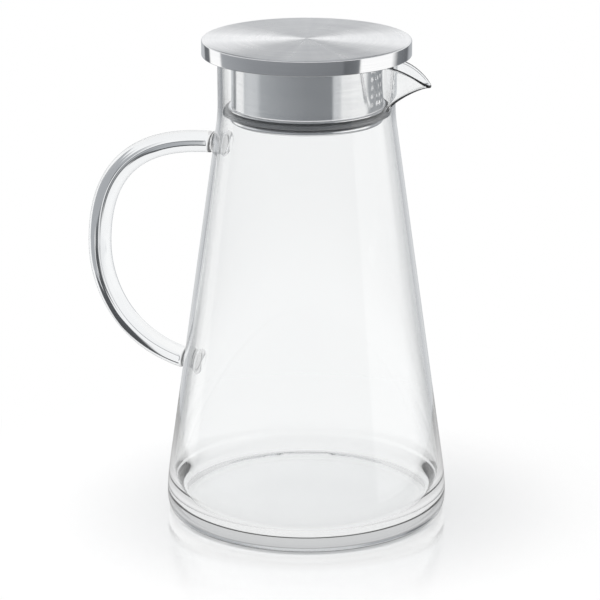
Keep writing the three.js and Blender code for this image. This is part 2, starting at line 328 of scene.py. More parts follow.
def column_angles():
    """Angles of the jug's columns, closer together over the spout."""
    spout = SPOUT_HALF_ANGLE * (2 * np.arange(SPOUT_COLUMNS) / SPOUT_COLUMNS - 1)
    rest = 2 * math.pi - 2 * SPOUT_HALF_ANGLE
    wall = SPOUT_HALF_ANGLE + rest * np.arange(WALL_COLUMNS) / WALL_COLUMNS
    return np.concatenate([spout, wall])


def jug():
    """The blown jug: up the outer wall, over the rim and down the inner wall to the floor."""
    angles = column_angles()
    stations = [index + step / steps for index, steps in enumerate(STATION_STEPS) for step in range(steps)]
    stations.append(RIM_STATION)
    rings = [outside(angles, station) for station in stations]
    rim_round = wall_thickness(angles, RIM_STATION) / 2
    middle = under(angles, RIM_STATION, rim_round)
    for step in range(1, RIM_STEPS):
        turn = math.pi * step / RIM_STEPS
        way = outward(angles, RIM_STATION) * math.cos(turn) + upward(angles, RIM_STATION) * math.sin(turn)
        rings.append(middle + rim_round[:, None] * way)
    inner_stations = [station for station in reversed(stations) if station >= CONE_STATION]
    rings += [under(angles, station, wall_thickness(angles, station)) for station in inner_stations]
    top = rings[-1][0]
    fillet_radius = math.hypot(top[0], top[1])
    fillet = [
        (fillet_radius, top[2]),
        (fillet_radius + cone_slope * (top[2] - FLOOR_THICKNESS), FLOOR_THICKNESS),
        (FLOOR_RADIUS, FLOOR_THICKNESS),
    ]
    for step in range(1, FILLET_STEPS + 1):
        radius, height = bezier(fillet, step / FILLET_STEPS)
        level = np.full(len(angles), height)
        rings.append(np.stack([radius * np.cos(angles), radius * np.sin(angles), level], axis=1))
    return closed_skin(rings, (0, 0, 0), (0, 0, FLOOR_THICKNESS))


def rod_path():
    """The rod's centre line, as curves of x and z, from the neck round to the base."""
    top_x = -cone_radius_at(HANDLE_TOP_HEIGHT)
    bottom_x = -cone_radius_at(HANDLE_BOTTOM_HEIGHT)
    top_lead = (HANDLE_REACH + top_x) * TOP_LEAD_SHARE
    bottom_lead = (HANDLE_REACH + bottom_x) * BOTTOM_LEAD_SHARE
    upper_bow = (HANDLE_TOP_HEIGHT - HANDLE_REACH_HEIGHT) * UPPER_BOW_SHARE
    lower_bow = (HANDLE_REACH_HEIGHT - HANDLE_BOTTOM_HEIGHT) * LOWER_BOW_SHARE
    bottom_out = np.array([-math.cos(HANDLE_BOTTOM_RISE), math.sin(HANDLE_BOTTOM_RISE)])
    top = np.array([top_x, HANDLE_TOP_HEIGHT])
    bottom = np.array([bottom_x, HANDLE_BOTTOM_HEIGHT])
    widest = np.array([-HANDLE_REACH, HANDLE_REACH_HEIGHT])
    return [
        [top + [ROOT_DEPTH, 0], top],
        [top, top - [top_lead, 0], widest + [0, upper_bow], widest],
        [widest, widest - [0, lower_bow], bottom + bottom_lead * bottom_out, bottom],
        [bottom, bottom - ROOT_DEPTH * bottom_out],
    ]


def rod():
    """The handle's rod, thickest in the middle, with a flare at each end."""
    shares = np.linspace(0, 1, PATH_STEPS)
    fine = np.vstack([[bezier(curve, share) for share in shares] for curve in rod_path()])
    runs = np.concatenate([[0], np.cumsum(np.linalg.norm(np.diff(fine, axis=0), axis=1))])
    length = runs[-1]
    sides = np.arange(ROD_SIDES) * 2 * math.pi / ROD_SIDES
    rings = []
    for step in range(ROD_STEPS + 1):
        along = (1 - math.cos(math.pi * step / ROD_STEPS)) / 2
        centre, ahead, behind = (
            np.array([np.interp(place * length, runs, fine[:, axis]) for axis in (0, 1)])
            for place in (along, min(along + TANGENT_SHARE, 1), max(along - TANGENT_SHARE, 0))
        )
        tangent = (ahead - behind) / np.linalg.norm(ahead - behind)
        across = np.array([tangent[1], 0, -tangent[0]])
        from_wall = min(along, 1 - along) * length - ROOT_DEPTH
        flare = min(max(1 - from_wall / PAD_LENGTH, 0), 1) ** PAD_SHARPNESS
        bulge = (ROD_RADIUS - ROD_END_RADIUS) * math.sin(math.pi * along)
        crease = max(1 - ((from_wall - CREASE_PLACE) / CREASE_HALF_WIDTH) ** 2, 0) ** 2
        radius = ROD_END_RADIUS + bulge + (PAD_RADIUS - ROD_END_RADIUS) * flare - CREASE_DEPTH * crease
        ring = np.outer(np.cos(sides), across) + np.outer(np.sin(sides), [0, 1, 0])
        rings.append(np.array([centre[0], 0, centre[1]]) + radius * ring)
    first, last = rings[0].mean(axis=0), rings[-1].mean(axis=0)
    return closed_skin(rings, first, last)


def blown_glass():
    """The jug with its handle fused on, as one piece of glass."""
    glass = mesh_object("blown_glass", *jug())
    handle = mesh_object("rod", *rod())
    combine(glass, handle, "UNION")
    sharpen(glass)
    return glass


def pressed_cap():
    """The lid's top, with its side and the hem turned in under it."""
    low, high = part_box("lid_cap")
    radius = high.x
    inside = radius - SHEET
    hem = radius - LID_HEM
    cap = turned("pressed_cap", [
        (0, high.z - SHEET),
        (inside, high.z - SHEET),
        (inside, low.z + SHEET),
        (hem, low.z + SHEET),
        (hem, low.z),
        *arc(radius - SHEET / 2, low.z + SHEET / 2, SHEET / 2, -90, 0),
        *arc(radius - LID_EDGE_ROUND, high.z - LID_EDGE_ROUND, LID_EDGE_ROUND, 0, 90),
        (0, high.z),
    ])
    sharpen(cap)
    for face in cap.data.polygons:
        face.material_index = 0 if face.normal.z > FACING_UP else 1
    return cap


def closing_plate():
    """The plate that closes the lid from below."""
    low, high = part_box("lid_underplate")
    plate = turned("closing_plate", [
        (0, low.z),
        *arc(high.x - SHEET / 2, (low.z + high.z) / 2, SHEET / 2, -90, 90),
        (0, high.z),
    ])
    sharpen(plate)
    return plate


def window_outline():
    """The pouring window's outline: y and z round its centre."""
    half_width = WINDOW_WIDTH / 2 - WINDOW_CORNER
    half_height = WINDOW_HEIGHT / 2 - WINDOW_CORNER
    corners = [(half_width, half_height, 0), (-half_width, half_height, 90)]
    corners += [(-half_width, -half_height, 180), (half_width, -half_height, 270)]
    return [point for y, z, start in corners for point in arc(y, z, WINDOW_CORNER, start, start + 90)]


def prism(outline, inner, outer, angle, height):
    """Two rings of a cutter: an outline of (across, up) drawn out along a direction from the axis."""
    out = np.array([math.cos(angle), math.sin(angle), 0])
    across = np.array([-math.sin(angle), math.cos(angle), 0])
    flat = np.array([[*(y * across)[:2], height + z] for y, z in outline])
    return [flat + inner * out, flat + outer * out]


def perforated_drum():
    """The drum: a tube with a grid of round holes on one side and the pouring window on the other."""
    low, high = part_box("strainer_drum")
    radius = high.x
    inside = radius - DRUM_SHEET
    drum = turned("perforated_drum", [(inside, low.z), (radius, low.z), (radius, high.z), (inside, high.z)])
    middle = (low.z + high.z) / 2
    turns = np.arange(HOLE_SIDES) * 2 * math.pi / HOLE_SIDES
    hole = [(STRAINER_HOLE_RADIUS * math.cos(t), STRAINER_HOLE_RADIUS * math.sin(t)) for t in turns]
    cuts = [prism(window_outline(), inside / 2, 2 * radius, math.pi, middle)]
    for column in range(STRAINER_COLUMNS):
        for row in range(STRAINER_ROWS):
            height = middle + (row - (STRAINER_ROWS - 1) / 2) * STRAINER_ROW_PITCH
            angle = STRAINER_START + column * STRAINER_PITCH
            cuts.append(prism(hole, inside - DRUM_SHEET, radius + DRUM_SHEET, angle, height))
    points, faces = [], []
    for rings in cuts:
        first = len(points)
        cut_points, cut_faces = closed_skin(rings, rings[0].mean(axis=0), rings[1].mean(axis=0))
        points.extend(cut_points)
        faces.extend([tuple(first + corner for corner in face) for face in cut_faces])
    combine(drum, mesh_object("cutters", points, faces), "DIFFERENCE")
    round_normals(drum, inside, radius)
    return drum


def round_normals(piece, inside, radius):
    """Gives a cut tube true round normals on its outer and inner face, and the inner one its own finish."""
    mesh = piece.data
    normals = []
    for face in mesh.polygons:
        corners = [mesh.vertices[index].co for index in face.vertices]
        reaches = [math.hypot(corner.x, corner.y) for corner in corners]
        for finish, (side, reach) in enumerate(((1, radius), (-1, inside))):
            if all(abs(r - reach) < SAME_REACH for r in reaches):
                normals += [Vector((side * c.x, side * c.y, 0)).normalized() for c in corners]
                face.material_index = finish
                break
        else:
            normals += [face.normal] * len(corners)
    mesh.normals_split_custom_set(normals)


def rolled_carrier():
    """The ring under the drum, with a rolled bead above the seal and a rolled lip below it."""
    low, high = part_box("seal_carrier")
    groove = CARRIER_INNER_RADIUS + CARRIER_SLEEVE
    bead = BEAD_THICKNESS / 2
    lip = LIP_THICKNESS / 2
    ring = turned("rolled_carrier", [
        (CARRIER_INNER_RADIUS, low.z),
        *arc(LIP_RADIUS - lip, low.z + lip, lip, -90, 90),
        (groove, low.z + LIP_THICKNESS),
        (groove, high.z - BEAD_THICKNESS),
        *arc(high.x - bead, high.z - bead, bead, -90, 90),
        (CARRIER_INNER_RADIUS, high.z),
    ])
    sharpen(ring)
    return ring


def silicone_seal():
    """The silicone ring whose rounded edge fills the neck."""
    low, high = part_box("seal_ring")
    inside = CARRIER_INNER_RADIUS + CARRIER_SLEEVE + SEAL_GAP
    edge = high.x
    ring = turned("silicone_seal", [
        (inside, low.z),
        (LIP_RADIUS, low.z),
        *arc(edge - SEAL_ROUND, low.z + SEAL_TAPER + SEAL_ROUND, SEAL_ROUND, -SEAL_TAPER_ANGLE, 0),
        *arc(edge - SEAL_ROUND, high.z - SEAL_ROUND, SEAL_ROUND, 0, 90),
        (inside, high.z),
    ])
    sharpen(ring)
    return ring


ANY = 0.5  # a ray's flags and counts are above this from one upwards
WHITE = (1, 1, 1, 1)
LEVEL = (1, 1, 0)  # leaves out a vector's height


class Graph:
    """A node tree with short calls for adding and linking nodes."""

    def __init__(self, owner):
        owner.use_nodes = True
        self.tree = owner.node_tree
        self.tree.nodes.clear()

    def add(self, kind, inputs=(), **settings):
        """A node of a kind, with its settings, and its inputs set or linked by name or number."""
        node = self.tree.nodes.new(kind)
        for name, value in settings.items():
            setattr(node, name, value)
        for key, value in dict(inputs).items():
            if isinstance(value, bpy.types.NodeSocket):
                self.tree.links.new(value, node.inputs[key])
            else:
                node.inputs[key].default_value = value
        return node

    def math(self, operation, first, second=0.0):
        """The result of an operation on two numbers."""
        return self.add("ShaderNodeMath", {0: first, 1: second}, operation=operation).outputs[0]

    def blend(self, share, first, second):
        """A number or a colour between two others, through the sockets that the node has for colours."""
        inputs = {0: share, 6: first, 7: second}
        return self.add("ShaderNodeMix", inputs, data_type="RGBA").outputs[2]

    def mix(self, share, first, second):
        """A surface between two others."""
        return self.add("ShaderNodeMixShader", {0: share, 1: first, 2: second}).outputs[0]

    def ramp(self, share, stops):
        """A colour ramp over a share, from (place, colour) stops."""
        node = self.add("ShaderNodeValToRGB", {0: share})
        elements = node.color_ramp.elements
        while len(elements) < len(stops):
            elements.new(1.0)
        for element, (place, colour) in zip(elements, stops):
            element.position = place
            element.color = (*colour, 1)
        return node.outputs[0]

    def smooth_range(self, value, low, high, start=0.0, end=1.0):
        """A value mapped smoothly from one range to another, and held at its ends."""
        inputs = {0: value, 1: low, 2: high, 3: start, 4: end}
        return self.add("ShaderNodeMapRange", inputs, interpolation_type="SMOOTHSTEP").outputs[0]

    def scaled(self, vector, factors):
        """A vector with each of its axes multiplied."""
        return self.add("ShaderNodeVectorMath", {0: vector, 1: factors}, operation="MULTIPLY").outputs[0]

    def reach(self, place):
        """How far a place lies from the vertical axis."""
        level = self.scaled(place, LEVEL)
        return self.add("ShaderNodeVectorMath", {0: level}, operation="LENGTH").outputs["Value"]


def grey(level):
    """A neutral colour."""
    return (level, level, level)


def new_material(name):
    """A material with an empty node tree."""
    material = bpy.data.materials.new(name)
    return material, Graph(material)


def brush_coordinates(graph, across, along):
    """Coordinates that run fast across concentric brushing, and slowly along it, without a seam."""
    place = graph.add("ShaderNodeTexCoord").outputs["Object"]
    reach = graph.reach(place)
    level = graph.scaled(place, LEVEL)
    around = graph.add("ShaderNodeVectorMath", {0: level}, operation="NORMALIZE").outputs[0]
    around = graph.add("ShaderNodeSeparateXYZ", {0: around}).outputs
    height = graph.add("ShaderNodeSeparateXYZ", {0: place}).outputs[2]
    fast = graph.math("MULTIPLY", graph.math("ADD", reach, height), across)
    slow = [graph.math("MULTIPLY", around[axis], along) for axis in (0, 1)]
    return graph.add("ShaderNodeCombineXYZ", {0: slow[0], 1: slow[1], 2: fast}).outputs[0]


# Brushing of the steel: waves per metre across it, and round the axis along it
FINE_BRUSHING = {"across": 1100, "along": 1.6}
WIDE_BRUSHING = {"across": 160, "along": 0.8}
WAVERING = {"across": 0, "along": 5}
DRAWING_MARKS = {"across": 2600, "along": 9}
FINE_SHARE = 0.7  # of the tone, against the wide brushing
NOISE_MEAN = 0.5
BRUSHING_RANGE = (0.3, 0.7)  # the noise between the darkest and the lightest streaks
BRUSHING_DEPTH = 0.00002
BRUSHING_TURN = 0.25  # of a turn, from the tangent to the stretched highlight
STEEL_TONE = 0.87
STEEL_GREEN = 1.005  # of the darker streaks, against their red
STEEL_BLUE = 1.015
ROUGHNESS_SPREAD = 0.1


def brushed_steel(name, roughness, anisotropy, streaks, relief, rays=0.0, caught=0.0):
    """Stainless steel brushed in circles round the axis, with faint rays where the brushing wavered.

    Inside a tube, light that has been thrown off once or more is painted: the steel there glows at a fixed
    level of its own.
    """
    material, graph = new_material(name)
    place = brush_coordinates(graph, **FINE_BRUSHING)
    grain_inputs = {"Vector": place, "Scale": 1.0, "Detail": 3.0, "Roughness": 0.6}
    grain = graph.add("ShaderNodeTexNoise", grain_inputs)
    wide_place = brush_coordinates(graph, **WIDE_BRUSHING)
    wide = graph.add("ShaderNodeTexNoise", {"Vector": wide_place, "Scale": 1.0, "Detail": 2.0})
    fine = graph.math("MULTIPLY", grain.outputs[0], FINE_SHARE)
    tone = graph.math("ADD", fine, graph.math("MULTIPLY", wide.outputs[0], 1 - FINE_SHARE))
    around = brush_coordinates(graph, **WAVERING)
    ray = graph.add("ShaderNodeTexNoise", {"Vector": around, "Scale": 1.0, "Detail": 3.0}).outputs[0]
    ray = graph.math("MULTIPLY", graph.math("SUBTRACT", ray, NOISE_MEAN), rays)
    tone = graph.math("ADD", tone, ray)
    darkest, lightest = BRUSHING_RANGE
    low = STEEL_TONE - streaks
    dark = (low, low * STEEL_GREEN, low * STEEL_BLUE)
    colour = graph.ramp(tone, [(darkest, dark), (lightest, grey(STEEL_TONE + streaks))])
    roughest = roughness * (1 + ROUGHNESS_SPREAD)
    smoothest = roughness * (1 - ROUGHNESS_SPREAD)
    rough = graph.smooth_range(tone, darkest, lightest, roughest, smoothest)
    bump = graph.add("ShaderNodeBump", {"Height": tone, "Strength": relief, "Distance": BRUSHING_DEPTH})
    tangent = graph.add("ShaderNodeTangent", direction_type="RADIAL", axis="Z")
    shader = graph.add("ShaderNodeBsdfPrincipled", {
        "Base Color": colour,
        "Metallic": 1.0,
        "Roughness": rough,
        "Anisotropic": anisotropy,
        "Anisotropic Rotation": BRUSHING_TURN,
        "Tangent": tangent.outputs[0],
        "Normal": bump.outputs[0],
    })
    surface = shader.outputs[0]
    # Painted light: a ray that has already been thrown off sees a fixed glowing grey here instead of the
    # steel
    if caught:
        again = graph.math("GREATER_THAN", graph.add("ShaderNodeLightPath").outputs["Glossy Depth"], ANY)
        light = graph.add("ShaderNodeEmission", {"Color": (*grey(caught), 1), "Strength": 1.0})
        surface = graph.mix(again, surface, light.outputs[0])
    graph.add("ShaderNodeOutputMaterial", {"Surface": surface})
    return material


POLISHED_DARK = (0.86, 0.865, 0.87)
POLISHED_LIGHT = (0.91, 0.91, 0.915)
POLISHED_ROUGHNESS = (0.16, 0.1)
MARKS_RANGE = (0.35, 0.65)  # the noise between the darkest and the lightest marks


def polished_steel():
    """Rolled and polished stainless steel with faint drawing marks."""
    material, graph = new_material("polished_steel")
    place = brush_coordinates(graph, **DRAWING_MARKS)
    marks = graph.add("ShaderNodeTexNoise", {"Vector": place, "Scale": 1.0, "Detail": 3.0})
    colour = graph.ramp(marks.outputs[0], list(zip(MARKS_RANGE, (POLISHED_DARK, POLISHED_LIGHT))))
    rough = graph.smooth_range(marks.outputs[0], *MARKS_RANGE, *POLISHED_ROUGHNESS)
    shader = graph.add("ShaderNodeBsdfPrincipled", {
        "Base Color": colour,
        "Metallic": 1.0,
        "Roughness": rough,
    })
    graph.add("ShaderNodeOutputMaterial", {"Surface": shader.outputs[0]})
    return material


SILICONE_DARK = (0.115, 0.122, 0.132)
SILICONE_LIGHT = (0.14, 0.148, 0.158)
CLOUD_RANGE = (0.35, 0.65)  # the noise between its darkest and its lightest clouds
SHEEN_RANGE = (0.3, 0.7)  # and between the smoothest and the roughest
SILICONE_ROUGHNESS = (0.27, 0.33)
SKIN_DEPTH = 0.00004


def silicone():
    """Matt grey silicone with a fine moulded skin."""
    material, graph = new_material("silicone")
    place = graph.add("ShaderNodeTexCoord").outputs["Object"]
    speckle = graph.add("ShaderNodeTexNoise", {"Vector": place, "Scale": 2600.0, "Detail": 2.0})
    cloud = graph.add("ShaderNodeTexNoise", {"Vector": place, "Scale": 90.0, "Detail": 2.0})
    colour = graph.ramp(cloud.outputs[0], list(zip(CLOUD_RANGE, (SILICONE_DARK, SILICONE_LIGHT))))
    rough = graph.smooth_range(cloud.outputs[0], *SHEEN_RANGE, *SILICONE_ROUGHNESS)
    skin = {"Height": speckle.outputs[0], "Strength": 0.2, "Distance": SKIN_DEPTH}
    bump = graph.add("ShaderNodeBump", skin)
    shader = graph.add("ShaderNodeBsdfPrincipled", {
        "Base Color": colour,
        "Roughness": rough,
        "IOR": 1.7,
        "Specular IOR Level": 1.0,
        "Normal": bump.outputs[0],
    })
    graph.add("ShaderNodeOutputMaterial", {"Surface": shader.outputs[0]})
    return material


GLASS_TINT = (0.99, 0.995, 0.995, 1)
GLASS_IOR = 1.474
GLASS_SHADOW = (0.93, 0.94, 0.94, 1)  # what passes into its shadow
GLASS_DEPTH_TINT = (0.28, 0.3, 0.32, 1)  # what long ways through it turn to
GLASS_DENSITY = 4.0
WAVES_PER_METRE = (30, 30, 9)  # of the faint waves left by blowing, drawn out upwards
WAVE_DEPTH = 0.0002
# A dark ring of painted shade in each crease of the handle: how far from the wall it fades in, and out
# again
CREASE_SHADE_NEAR = (0.0042, 0.005)
CREASE_SHADE_FAR = (0.0064, 0.0056)
CREASE_SHADE_LEVEL = 0.03
CREASE_SHADE_HIGHEST = SHOULDER_HEIGHT - SHOULDER_RISE / 2  # higher up, the wall leaves the cone
# Painted light and shade where light is caught in the glass: a fixed grey by the share of the heel's
# height, and above the heel
HEEL_LINES = [(place, grey(level)) for place, level in (
    (0.0, 0.12), (0.05, 0.3), (0.09, 0.95), (0.15, 0.6), (0.22, 0.98),
    (0.34, 0.7), (0.5, 0.95), (0.75, 0.8), (1.0, 0.83),
)]
RIM_LEVEL = 0.01  # and the painted shade that it shows at the rim and the spout
TRAPPED_DEPTH = 2.5  # light that has been thrown off more often than this is caught in the glass, where a painted grey stands in for it
NEAR_SURFACES = 2.5  # light that has crossed fewer surfaces is in the glass nearest the camera


def clear_glass():
    """Clear borosilicate glass, faintly uneven as blown glass is, which greys where it is seen edge on,
    with painted shade in a dark ring at each crease of the handle, and a painted grey by height where light
    is trapped in it.
    """
    material, graph = new_material("clear_glass")
    place = graph.add("ShaderNodeTexCoord").outputs["Object"]
    drawn = graph.scaled(place, WAVES_PER_METRE)
    waves = graph.add("ShaderNodeTexNoise", {"Vector": drawn, "Scale": 1.0, "Detail": 0.0}).outputs[0]
    bump = graph.add("ShaderNodeBump", {"Height": waves, "Strength": 0.5, "Distance": WAVE_DEPTH})
    height = graph.add("ShaderNodeSeparateXYZ", {0: place}).outputs[2]
    # Painted shade: the glass's base colour turns dark in a ring round each crease of the handle
    wall = graph.math("SUBTRACT", CONE_RADIUS, graph.math("MULTIPLY", height, cone_slope))
    proud = graph.math("SUBTRACT", graph.reach(place), wall)
    fades_in = graph.smooth_range(proud, *CREASE_SHADE_NEAR)
    crease_shade = graph.math("MULTIPLY", fades_in, graph.smooth_range(proud, *CREASE_SHADE_FAR))
    crease_shade = graph.math("MULTIPLY", crease_shade, graph.math("LESS_THAN", height, CREASE_SHADE_HIGHEST))
    shader = graph.add("ShaderNodeBsdfPrincipled", {
        "Base Color": graph.blend(crease_shade, GLASS_TINT, (*grey(CREASE_SHADE_LEVEL), 1)),
        "Roughness": 0.0,
        "IOR": GLASS_IOR,
        "Transmission Weight": 1.0,
        "Normal": bump.outputs[0],
    })
    clear = graph.add("ShaderNodeBsdfTransparent", {"Color": GLASS_SHADOW})
    # Painted light and shade: rays trapped in the glass see a fixed emitted grey by height, not traced
    # light
    heel = graph.ramp(graph.math("DIVIDE", height, HEEL_HEIGHT), HEEL_LINES)
    path = graph.add("ShaderNodeLightPath").outputs
    rim = graph.smooth_range(height, SHOULDER_HEIGHT, neck_height)
    rim = graph.math("MULTIPLY", rim, graph.math("LESS_THAN", path["Transmission Depth"], NEAR_SURFACES))
    caught = graph.blend(rim, heel, (*grey(RIM_LEVEL), 1))
    trapped = graph.add("ShaderNodeEmission", {"Color": caught, "Strength": 1.0})
    deep = graph.math("GREATER_THAN", path["Glossy Depth"], TRAPPED_DEPTH)
    surface = graph.mix(deep, shader.outputs[0], trapped.outputs[0])
    surface = graph.mix(path["Is Shadow Ray"], surface, clear.outputs[0])
    depth = graph.add("ShaderNodeVolumeAbsorption", {"Color": GLASS_DEPTH_TINT, "Density": GLASS_DENSITY})
    graph.add("ShaderNodeOutputMaterial", {"Surface": surface, "Volume": depth.outputs[0]})
    return material


# What metal and glass see round the object, by the angle from the camera's side, positive to the right.
# Each stop is an angle in degrees and a brightness as a share of the softboxes'.
OPEN_AIR_BANDS = [
    (-180, 0.5), (-150, 0.5), (-147, 0.15), (-133, 0.15), (-130, 1.0), (-109, 1.0), (-106, 0.36),
    (-60, 0.27), (0, 0.22), (39, 0.19), (42, 0.13), (55, 0.16), (59, 0.2), (61, 1.0), (106, 1.0),
    (118, 0.2), (142, 0.14), (150, 0.4), (180, 0.5),
]
BEHIND_NECK_BANDS = [
    (-180, 0.86), (-165, 0.86), (-161, 0.5), (-146, 0.5), (-143, 0.16), (-134, 0.16), (-131, 1.05),
    (-110, 1.05), (-107, 0.6), (-96, 0.72), (-80, 0.66), (-72, 0.42), (-40, 0.33), (0, 0.24), (38, 0.22),
    (41, 0.72), (50, 0.74), (55, 1.05), (101, 1.05), (108, 0.3), (150, 0.26), (164, 0.5), (180, 0.86),
]
WALL_EDGE_BANDS = [
    (-180, 0.86), (-167, 0.8), (-161, 0.5), (-148, 0.46), (-144, 0.2), (-130, 0.2), (-122, 0.9),
    (-70, 0.6), (0, 0.5), (70, 0.7), (122, 0.9), (138, 0.35), (146, 0.52), (160, 0.6), (168, 0.86),
    (180, 0.86),
]
OVERHEAD_BANDS = [
    (-180, 0.75), (-165, 0.75), (-145, 0.4), (-95, 0.4), (-75, 0.7), (-50, 0.7), (-30, 0.4), (20, 0.35),
    (40, 0.6), (60, 0.6), (80, 0.35), (145, 0.4), (165, 0.75), (180, 0.75),
]
# What the rod of the handle bends into view: its sides, and what lies behind it in layers, each with
# the lowest angle over the horizon and its bands
HANDLE_SIDES = [
    (-151, 0.9), (-118, 0.9), (-106, 0.6), (-60, 0.45), (-20, 0.75), (20, 0.75), (60, 0.6), (100, 0.95),
]
HANDLE_LAYERS = [
    (-90, [(-180, 0.88), (138, 0.9), (142, 0.38), (168, 0.38), (171, 0.88), (180, 0.88)]),
    (-32, [(-180, 0.88), (138, 0.9), (142, 0.38), (174, 0.38), (177, 0.88), (180, 0.88)]),
    (-24, [(-180, 0.38), (-179, 0.38), (-178, 0.88), (138, 0.9), (142, 0.38), (180, 0.38)]),
    (-19.5, [
        (-180, 0.38), (-178.3, 0.38), (-177.5, 0.88), (138, 0.9), (142, 0.38), (177.4, 0.38),
        (178.2, 0.06), (179.6, 0.1), (180, 0.38),
    ]),
    (-16.8, [
        (-180, 0.82), (-158, 0.82), (-155, 0.7), (140, 0.9), (144, 0.38), (164.5, 0.38), (165.5, 0.95),
        (167.5, 0.95), (168.5, 0.06), (172, 0.12), (177.5, 0.1), (178.8, 0.82), (180, 0.82),
    ]),
    (-15.4, [
        (-180, 0.3), (-178, 0.06), (-174.8, 0.06), (-174, 0.88), (140, 0.88), (144, 0.38), (164, 0.38),
        (165, 0.9), (166, 0.9), (167, 0.06), (176.5, 0.06), (177.5, 0.88), (180, 0.88),
    ]),
    (-14.2, [
        (-180, 0.88), (-178.4, 0.88), (-178.1, 0.1), (-177.4, 0.1), (-177, 0.38), (-174.5, 0.38),
        (-173.8, 0.06), (-171.8, 0.06), (-171, 0.88), (140, 0.88), (144, 0.38), (163, 0.38), (164, 0.9),
        (165, 0.9), (166, 0.06), (174, 0.06), (175, 0.88), (180, 0.88),
    ]),
    (-11, [
        (-180, 0.88), (-177.8, 0.88), (-177, 0.38), (-174.5, 0.38), (-173.8, 0.06), (-171.8, 0.06),
        (-171, 0.88), (140, 0.88), (144, 0.38), (159, 0.38), (160, 0.9), (161, 0.9), (162, 0.06),
        (169, 0.06), (170, 0.88), (180, 0.88),
    ]),
    (-7, [
        (-180, 0.88), (-177.8, 0.88), (-177, 0.38), (-172.6, 0.38), (-172.2, 0.06), (-169.5, 0.06),
        (-169, 0.88), (144, 0.88), (147, 0.06), (172, 0.06), (174, 0.88), (180, 0.88),
    ]),
    (-1, [
        (-180, 0.06), (-170, 0.06), (-169, 0.88), (144, 0.88), (147, 0.04), (171, 0.06), (173, 0.88),
        (180, 0.88),
    ]),
    (3, [(-180, 0.88), (144, 0.88), (148, 0.04), (170, 0.04), (172, 0.88), (180, 0.88)]),
    (12, [(-180, 0.06), (-179, 0.88), (144, 0.88), (148, 0.04), (176, 0.06), (180, 0.06)]),
    (19, [(-180, 0.88), (180, 0.88)]),
]
LAYER_SOFTNESS = 0.6
BANDS_START = 1.5  # in turns: the bands start and end on the side away from the camera
SOFTBOX_STRENGTH = 1.1
HORIZON_LEVEL = 0.88  # a bright strip behind the lid, which its top mirrors
CEILING_LEVEL = 0.25
LIP_LEVEL = 0.2  # what the lid's rolled lip sees below it
TABLE_LEVEL = 0.12  # what downward faces see
PLAIN_LEVEL = 0.95  # what lights matt surfaces
COOL_RED = 0.06  # how much less red a dark level is, and how much more blue
COOL_BLUE = 0.08
# Where these meet: degrees over the horizon, and how many to each side they blend over
HORIZON_EDGE = (4, 3)
CEILING_EDGE = (27, 12)
CEILING_BEHIND_NECK_EDGE = (26, 8)
BACKDROP_EDGE = (32, 10)
OVERHEAD_EDGE = (52, 9)
LIP_EDGE = (-22, 5)
TABLE_EDGE = (-32, 4)
BOTH_WALLS = 3.5  # light that has crossed more surfaces than this has passed through both walls of the jug


def studio_colour(level):
    """A level of the studio's bands: neutral where bright, and cooler where dark."""
    cool = 1 - level
    return (level * (1 - COOL_RED * cool), level, level * (1 + COOL_BLUE * cool))


